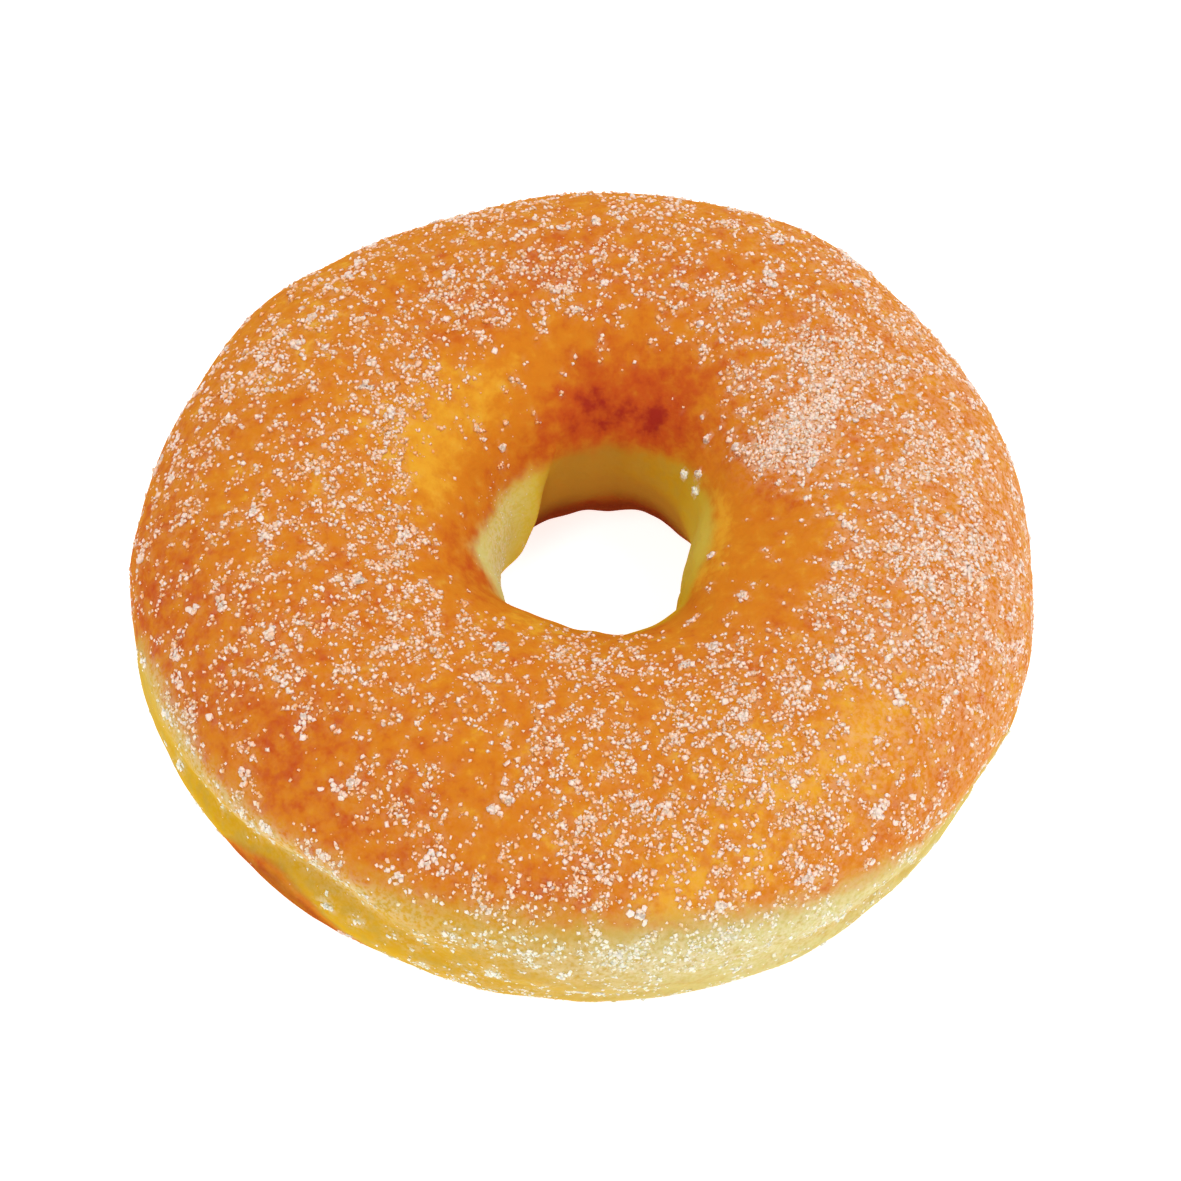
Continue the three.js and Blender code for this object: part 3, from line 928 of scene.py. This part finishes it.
# Lights and floor
# Round lights that point at the origin: name, place and diameter in metres, power in watts
LIGHTS = [
    ("key_light", (0.42, -0.1, 0.85), 0.5, 2.68),
    ("front_light", (-0.2, -0.45, 0.85), 0.3, 2.0),
    ("back_light", (0.0, 0.5, 0.85), 0.4, 1.2),
]
SURROUNDINGS = 0.58  # strength of the even white light from all round
FLOOR_PALE = srgb(226, 226, 226)
FLOOR_PALE_SHADE = srgb(222, 222, 222)
FLOOR_CLOUD = 40.0  # size of its faint clouds, in millimetres
FLOOR_GLOW = 0.78
FLOOR_REACH = 3000.0  # millimetres


def make_lights():
    for name, place, diameter, power in LIGHTS:
        data = bpy.data.lights.new(name, "AREA")
        data.shape = "DISK"
        data.size = diameter
        data.energy = power
        light = bpy.data.objects.new(name, data)
        light.location = place
        light.rotation_euler = Vector(place).to_track_quat("Z", "Y").to_euler()
        bpy.context.scene.collection.objects.link(light)


def make_studio():
    """Plain soft light, and a pale floor that glows a little, which lights the wall of the hole."""
    world = bpy.data.worlds.new("studio")
    world.use_nodes = True
    world.node_tree.nodes["Background"].inputs["Color"].default_value = (1, 1, 1, 1)
    world.node_tree.nodes["Background"].inputs["Strength"].default_value = SURROUNDINGS
    bpy.context.scene.world = world
    bpy.context.scene.view_settings.view_transform = "Standard"
    make_lights()
    n = Nodes("floor")
    material = n.shade({
        "Base Color": n.mix(n.noise(FLOOR_CLOUD), FLOOR_PALE, FLOOR_PALE_SHADE),
        "Roughness": 0.8,
        "Specular IOR Level": 0.1,
        "Emission Color": (1, 1, 1, 1),
        "Emission Strength": FLOOR_GLOW,
    })
    corners = np.array([[-1, -1, 0], [1, -1, 0], [1, 1, 0], [-1, 1, 0]]) * FLOOR_REACH
    floor = mesh_object("floor", corners, np.array([[0, 1, 2, 3]]), material)


# The crust and the fields that its material mixes
def in_hole(section):
    """1 on the wall of the hole and 0 elsewhere."""
    return smooth_step(*HOLE_START, section) * (1 - smooth_step(*HOLE_END, section))


def underside(azimuth, section):
    """1 on the browned underside, between the pale band and the wall of the hole, and 0 elsewhere."""
    below_band = 1 - smooth_step(*UNDERSIDE_EDGE, apart(section, 0) - around(BAND_BOTTOM, azimuth))
    on_wall = (section >= 180) * (1 - smooth_step(*UNDERSIDE_INNER_EDGE, section))
    return below_band * (1 - on_wall)


def in_crease(azimuth, section):
    """1 in the deepest parts of the crease and 0 elsewhere, where painted shade darkens it and makes it
    yellower.
    """
    across = bell(apart(section, sum_of(CREASE_HEIGHT, azimuth)), CREASE_COLOUR_WIDTH)
    return across * np.minimum(1, sum_of(CREASE_DEEPER, azimuth))


def creaminess(azimuth, section):
    """How creamy the pale parts are, 0 being yellow: partly their own colour and partly painted light on
    the band, the facet and the right of the wall, and yellower in the crease as painted shade.
    """
    past = past_fold(azimuth, section)
    wall = FACET_CREAM_AND_LIGHT + sum(by * smooth_step(start, end, past) for start, end, by in FACET_CREAMIER_AND_LIGHT)
    wall = fold_side(azimuth, section) * wall + sum_of(WALL_CREAMIER_PAINTED_LIGHT, azimuth)
    band = around(BAND_CREAM_AND_PAINTED_LIGHT, azimuth) * (1 - in_crease(azimuth, section))
    inside = in_hole(section)
    return inside * wall + (1 - inside) * band


def painted_shade_and_brown(azimuth, section):
    """How much the far wall of the hole, the crease and the near band are darkened as painted shade, and
    the underside as fried brown with painted shade.
    """
    inside = in_hole(section)
    top = WALL_TOP_PAINTED_SHADE + FAR_WALL_TOP_MORE_PAINTED_SHADE * share(azimuth, *FAR_WALL)
    wall = top + (1 - top) * smooth_step(*WALL_PAINTED_SHADE_DEEPENS, section)
    wall = wall * (1 - smooth_step(*WALL_PAINTED_SHADE_ENDS, section))
    wall = inside * (1 - fold_side(azimuth, section)) * around(WALL_PAINTED_SHADE, azimuth) * wall
    under = underside(azimuth, section) * (UNDERSIDE_BROWN_AND_SHADE + sum_of(UNDERSIDE_MORE_BROWN_AND_SHADE, azimuth))
    crease = CREASE_PAINTED_SHADE * in_crease(azimuth, section)
    return wall + under + (1 - inside) * (crease + sum_of(BAND_PAINTED_SHADE, azimuth))


def haziness(azimuth, section, cover):
    """How much haze of fine sugar there is: round the grains, as dust between them and in patches."""
    cell = np.prod(cell_sizes(azimuth, section), axis=0)
    cover = cover / cell / (360 / RING_STEPS) / (360 / SECTION_STEPS)
    for axis in (0, 1):
        cover = (np.roll(cover, 1, axis) + 2 * cover + np.roll(cover, -1, axis)) / 4
    haze = HAZE_MOST * (1 - np.exp(-HAZE_RISE * cover)) * around(HAZE_BY_AZIMUTH, azimuth)
    haze = haze * (1 + (HAZE_ON_BAND - 1) * (1 - brownness(azimuth, section)))
    before_end = around(SUGAR_END, azimuth) - section
    dusting = around(DUSTING, azimuth) * smooth_step(*DUSTING_EDGE, before_end)
    dusting = dusting * (1 - (1 - DUSTING_ON_TOP) * smooth_step(*DUSTING_LESSENS, section))
    return haze + dusting + patches(HAZY, azimuth, section)


def crust_fields(azimuth, section, cover):
    """What the crust's material mixes, by name. Cover is the area of sugar on each point."""
    brown = brownness(azimuth, section)
    middle, spread, by = HOLE_RIM_RED
    rim = by * around(HOLE_RIM_SHARE, azimuth) * bell(apart(section, middle), spread)
    tone = PLAIN_TONE + patches(TONES, azimuth, section) + rim
    tone = tone + UNDERSIDE_TONE * underside(azimuth, section)
    past_end = section - around(SUGAR_END, azimuth)
    on_slope = smooth_step(*SMOOTHER_SLOPE, past_end) * (section < SMOOTHER_SLOPE_END)
    painted_light_share = np.maximum(fold_side(azimuth, section), share(azimuth, *RIGHT_WALL_PAINTED_LIGHT))
    frosted = patches(FROSTED, azimuth, section) + FROST_ON_FOLD * on_fold(azimuth, section)
    return {
        "tone": tone,
        "texture": 1 - SMOOTHER_ON_SLOPE * on_slope - patches(SMOOTHER, azimuth, section),
        "brown": brown,
        # Painted light: the facet and the right of the wall get the fold's lighter colours
        "fold": in_hole(section) * painted_light_share,
        "cream_and_light": creaminess(azimuth, section),
        "shade_and_brown": painted_shade_and_brown(azimuth, section),
        "haze": haziness(azimuth, section, cover),
        "frost": frosted * (1 - brown),
    }


def make_crust(cover):
    """The dough as one fine mesh, with its fields."""
    azimuths = np.arange(RING_STEPS) * 360 / RING_STEPS
    sections = np.arange(SECTION_STEPS) * 360 / SECTION_STEPS
    a, s = np.meshgrid(azimuths, sections, indexing="ij")
    number = np.arange(RING_STEPS * SECTION_STEPS).reshape(RING_STEPS, SECTION_STEPS)
    onward = np.roll(number, -1, axis=0)
    corners = [number, onward, np.roll(onward, -1, axis=1), np.roll(number, -1, axis=1)]
    faces = np.stack(corners, -1).reshape(-1, 4)
    piece = mesh_object("crust", crust(a, s).reshape(-1, 3), faces, crust_material())
    for name, values in crust_fields(a, s, cover).items():
        add_field(piece, name, values)
    return piece


make_camera()
make_studio()
kinds = make_sugar()
pieces = [(piece, "sugar") for piece, cover in kinds]
pieces.append((make_crust(sum(cover for piece, cover in kinds)), "crust"))
for piece, slot in pieces:
    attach(piece, "root")
    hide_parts("doughnut")
